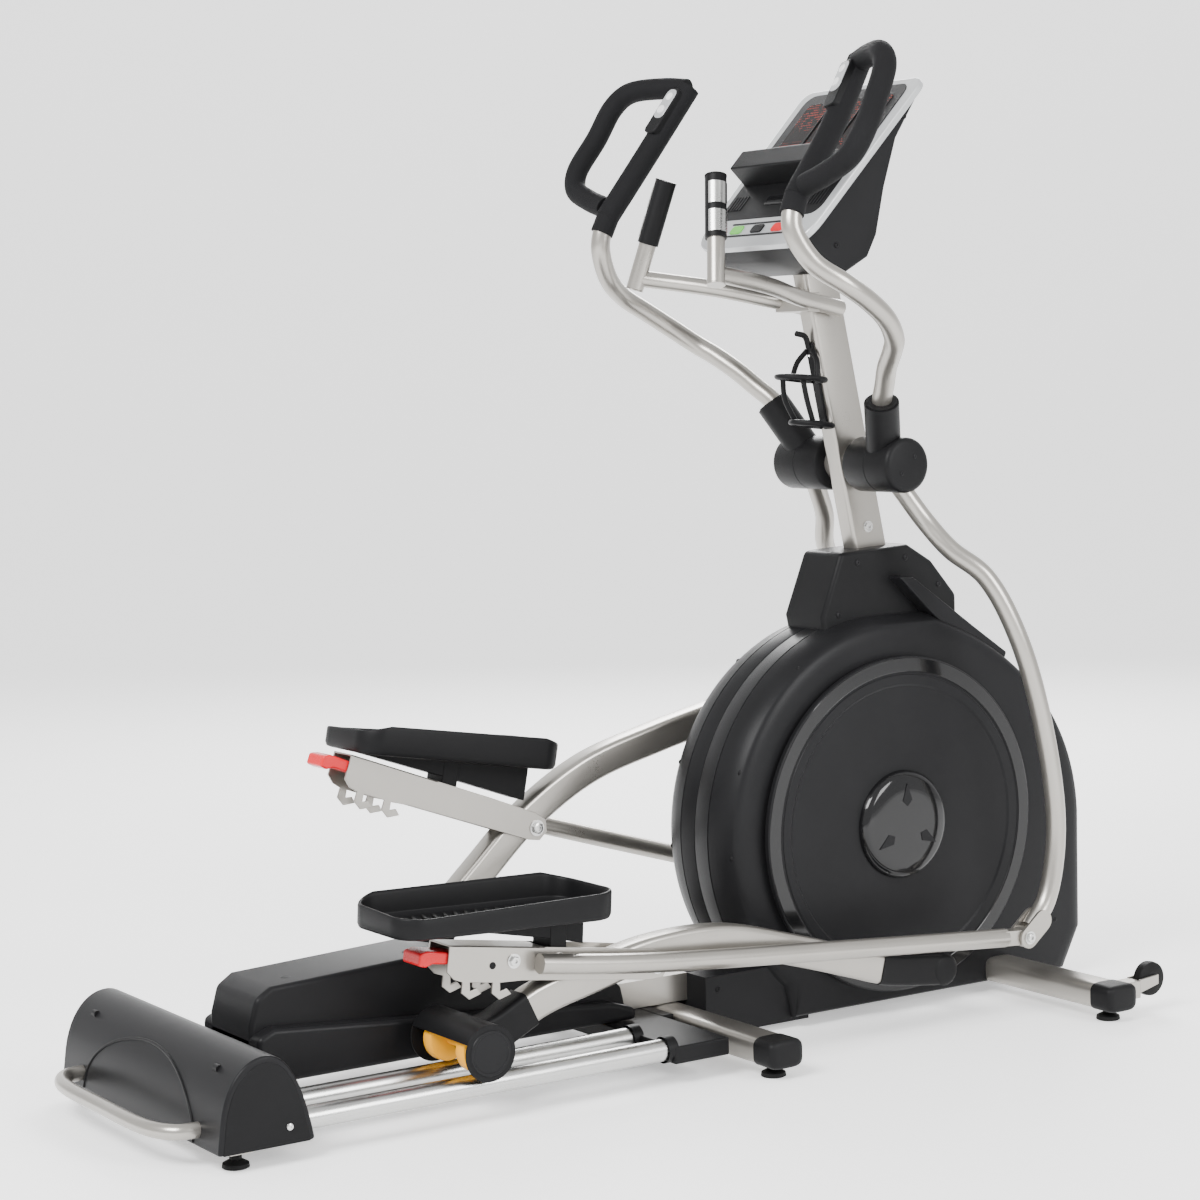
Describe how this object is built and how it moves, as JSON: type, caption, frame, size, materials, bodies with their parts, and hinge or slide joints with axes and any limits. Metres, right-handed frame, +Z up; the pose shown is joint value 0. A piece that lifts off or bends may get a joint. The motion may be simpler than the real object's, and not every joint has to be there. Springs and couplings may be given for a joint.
{
  "type": "elliptical trainer",
  "caption": "Rear-rail elliptical trainer with a flywheel housing, swinging arm levers, fixed handlebar, tilted console and roller-borne pedal links.",
  "frame": {"origin": "on the floor, at the middle of the overall box", "axes": "+X to the user's right, +Y forward towards the console and flywheel housing, +Z up"},
  "size_m": [0.8956, 2.0556, 1.7634],
  "materials": {
    "silver_paint": "warm silver satin paint on steel tube",
    "polished_steel": "drawn bright steel",
    "black_plastic": "fine grained moulded black plastic",
    "disc_plastic": "black moulded disc with a gloss rim",
    "foam": "closed cell foam rubber sleeve",
    "rubber": "black moulded rubber",
    "red_plastic": "red moulded plastic",
    "green_plastic": "green moulded plastic",
    "yellow_plastic": "amber polyurethane",
    "silver_plastic": "silver moulded plastic",
    "cast_iron": "painted cast iron"
  },
  "bodies": {
    "base": {"base_beam": "silver_paint", "mid_stabiliser": "silver_paint", "rail_block": "black_plastic", "front_stabiliser": "silver_paint", "rail_inner_right": "polished_steel", "rail_outer_right": "polished_steel", "rail_inner_left": "polished_steel", "rail_outer_left": "polished_steel", "rear_cover": "black_plastic", "carry_handle": "silver_paint", "centre_cover": "black_plastic", "mast": "silver_paint", "drive_belt": "rubber", "housing_right": "black_plastic", "housing_left": "black_plastic", "mast_shroud": "black_plastic", "console_face": "silver_plastic", "console_back": "black_plastic", "fixed_handlebar": "silver_paint", "pulse_grip_right": "black_plastic", "pulse_grip_left": "black_plastic", "bottle_cage": "black_plastic"},
    "crank": {"crank_axle": "polished_steel", "crank_disc_right": "disc_plastic", "crank_disc_left": "disc_plastic", "drive_pulley": "black_plastic"},
    "flywheel": {"flywheel": "cast_iron"},
    "right_arm": {"swing_hub_right": "black_plastic", "swing_arm_upper_right": "silver_paint", "swing_arm_lower_right": "silver_paint", "hand_grip_right": "foam"},
    "right_link": {"pedal_link_right": "silver_paint"},
    "right_pedal": {"pedal_right": "black_plastic"},
    "right_lever": {"tilt_lever_right": "red_plastic"},
    "right_rail_arm": {"rail_arm_right": "silver_paint", "roller_cover_right": "black_plastic"},
    "right_roller": {"rail_roller_right": "yellow_plastic"},
    "right_grip_key": {"grip_key_right": "silver_plastic"},
    "left_arm": {"swing_hub_left": "black_plastic", "swing_arm_upper_left": "silver_paint", "swing_arm_lower_left": "silver_paint", "hand_grip_left": "foam"},
    "left_link": {"pedal_link_left": "silver_paint"},
    "left_pedal": {"pedal_left": "black_plastic"},
    "left_lever": {"tilt_lever_left": "red_plastic"},
    "left_rail_arm": {"rail_arm_left": "silver_paint", "roller_cover_left": "black_plastic"},
    "left_roller": {"rail_roller_left": "yellow_plastic"},
    "left_grip_key": {"grip_key_left": "silver_plastic"},
    "start_key": {"start_key": "green_plastic"},
    "stop_key": {"stop_key": "red_plastic"},
    "level_rocker": {"level_rocker": "black_plastic"},
    "foot_rear_right": {"foot_rear_right": "rubber"},
    "foot_mid_right": {"foot_mid_right": "rubber"},
    "foot_front_right": {"foot_front_right": "rubber"},
    "transport_wheel_right": {"transport_wheel_right": "rubber"},
    "foot_rear_left": {"foot_rear_left": "rubber"},
    "foot_mid_left": {"foot_mid_left": "rubber"},
    "foot_front_left": {"foot_front_left": "rubber"},
    "transport_wheel_left": {"transport_wheel_left": "rubber"}
  },
  "joints": [
    {"name": "crank_spin", "type": "hinge", "parent": "base", "child": "crank", "pos_m": [0, 0.5455, 0.355], "axis": [1, 0, 0], "continuous": true},
    {"name": "flywheel_spin", "type": "hinge", "parent": "base", "child": "flywheel", "pos_m": [0, 0.8635, 0.3], "axis": [1, 0, 0], "continuous": true},
    {"name": "right_arm_swing", "type": "hinge", "parent": "base", "child": "right_arm", "pos_m": [0, 0.5305, 1.024], "axis": [1, 0, 0], "range_deg": [-15, 15]},
    {"name": "right_link_pivot", "type": "hinge", "parent": "right_arm", "child": "right_link", "pos_m": [0, 0.70422, 0.14634], "axis": [1, 0, 0], "range_deg": [-18, 18]},
    {"name": "right_rail_arm_pivot", "type": "hinge", "parent": "right_link", "child": "right_rail_arm", "pos_m": [0, -0.10579, 0.20312], "axis": [1, 0, 0], "range_deg": [-10, 10]},
    {"name": "right_roller_spin", "type": "hinge", "parent": "right_rail_arm", "child": "right_roller", "pos_m": [0, -0.4754, 0.12], "axis": [1, 0, 0], "range_deg": [-360, 360]},
    {"name": "right_pedal_tilt", "type": "hinge", "parent": "right_link", "child": "right_pedal", "pos_m": [0, -0.30211, 0.24261], "axis": [1, 0, 0], "range_deg": [0, 4]},
    {"name": "right_tilt_lever", "type": "hinge", "parent": "right_link", "child": "right_lever", "pos_m": [0, -0.49852, 0.26795], "axis": [1, 0, 0], "range_deg": [0, 6]},
    {"name": "right_grip_key_press", "type": "slide", "parent": "right_arm", "child": "right_grip_key", "axis": [0.1012, 0.8274, -0.5525], "range_m": [0, 0.0005], "stiffness_N_per_m": 600, "springref_m": -0.0005},
    {"name": "left_arm_swing", "type": "hinge", "parent": "base", "child": "left_arm", "pos_m": [0, 0.5305, 1.024], "axis": [1, 0, 0], "range_deg": [-16, 16]},
    {"name": "left_link_pivot", "type": "hinge", "parent": "left_arm", "child": "left_link", "pos_m": [0, 0.71898, 0.14939], "axis": [1, 0, 0], "range_deg": [-18, 18]},
    {"name": "left_rail_arm_pivot", "type": "hinge", "parent": "left_link", "child": "left_rail_arm", "pos_m": [0, -0.06076, 0.37599], "axis": [1, 0, 0], "range_deg": [-10, 10]},
    {"name": "left_roller_spin", "type": "hinge", "parent": "left_rail_arm", "child": "left_roller", "pos_m": [0, -0.34003, 0.12], "axis": [1, 0, 0], "range_deg": [-360, 360]},
    {"name": "left_pedal_tilt", "type": "hinge", "parent": "left_link", "child": "left_pedal", "pos_m": [0, -0.24431, 0.45606], "axis": [1, 0, 0], "range_deg": [-4, 0]},
    {"name": "left_tilt_lever", "type": "hinge", "parent": "left_link", "child": "left_lever", "pos_m": [0, -0.43093, 0.52232], "axis": [1, 0, 0], "range_deg": [0, 6]},
    {"name": "left_grip_key_press", "type": "slide", "parent": "left_arm", "child": "left_grip_key", "axis": [-0.1012, 0.8366, -0.5385], "range_m": [0, 0.0005], "stiffness_N_per_m": 600, "springref_m": -0.0005},
    {"name": "start_key_press", "type": "slide", "parent": "base", "child": "start_key", "axis": [0, 0.7278, -0.6858], "range_m": [0, 0.0025], "stiffness_N_per_m": 400, "springref_m": -0.002},
    {"name": "stop_key_press", "type": "slide", "parent": "base", "child": "stop_key", "axis": [0, 0.7278, -0.6858], "range_m": [0, 0.0025], "stiffness_N_per_m": 400, "springref_m": -0.002},
    {"name": "level_rocker_press", "type": "slide", "parent": "base", "child": "level_rocker", "axis": [0, 0.7278, -0.6858], "range_m": [0, 0.0025], "stiffness_N_per_m": 400, "springref_m": -0.002},
    {"name": "foot_rear_right_turn", "type": "hinge", "parent": "base", "child": "foot_rear_right", "pos_m": [0.263, -0.9095, 0], "axis": [0, 0, 1], "continuous": true},
    {"name": "foot_mid_right_turn", "type": "hinge", "parent": "base", "child": "foot_mid_right", "pos_m": [0.343, 0.0705, 0], "axis": [0, 0, 1], "continuous": true},
    {"name": "foot_front_right_turn", "type": "hinge", "parent": "base", "child": "foot_front_right", "pos_m": [0.403, 0.7955, 0], "axis": [0, 0, 1], "continuous": true},
    {"name": "transport_wheel_right_spin", "type": "hinge", "parent": "base", "child": "transport_wheel_right", "pos_m": [0.404, 0.8975, 0.062], "axis": [1, 0, 0], "continuous": true},
    {"name": "foot_rear_left_turn", "type": "hinge", "parent": "base", "child": "foot_rear_left", "pos_m": [-0.263, -0.9095, 0], "axis": [0, 0, 1], "continuous": true},
    {"name": "foot_mid_left_turn", "type": "hinge", "parent": "base", "child": "foot_mid_left", "pos_m": [-0.343, 0.0705, 0], "axis": [0, 0, 1], "continuous": true},
    {"name": "foot_front_left_turn", "type": "hinge", "parent": "base", "child": "foot_front_left", "pos_m": [-0.403, 0.7955, 0], "axis": [0, 0, 1], "continuous": true},
    {"name": "transport_wheel_left_spin", "type": "hinge", "parent": "base", "child": "transport_wheel_left", "pos_m": [-0.404, 0.8975, 0.062], "axis": [1, 0, 0], "continuous": true}
  ],
  "couplings": [
    {"joint": "flywheel_spin", "follows": "crank_spin", "ratio": 5},
    {"joint": "left_arm_swing", "follows": "right_arm_swing", "ratio": -1},
    {"joint": "right_link_pivot", "follows": "right_arm_swing", "ratio": -0.8},
    {"joint": "left_link_pivot", "follows": "right_arm_swing", "ratio": 0.8},
    {"joint": "right_rail_arm_pivot", "follows": "right_arm_swing", "ratio": -0.15},
    {"joint": "left_rail_arm_pivot", "follows": "right_arm_swing", "ratio": 0.1},
    {"joint": "right_roller_spin", "follows": "right_arm_swing", "ratio": -23.1},
    {"joint": "left_roller_spin", "follows": "right_arm_swing", "ratio": 23.1}
  ]
}
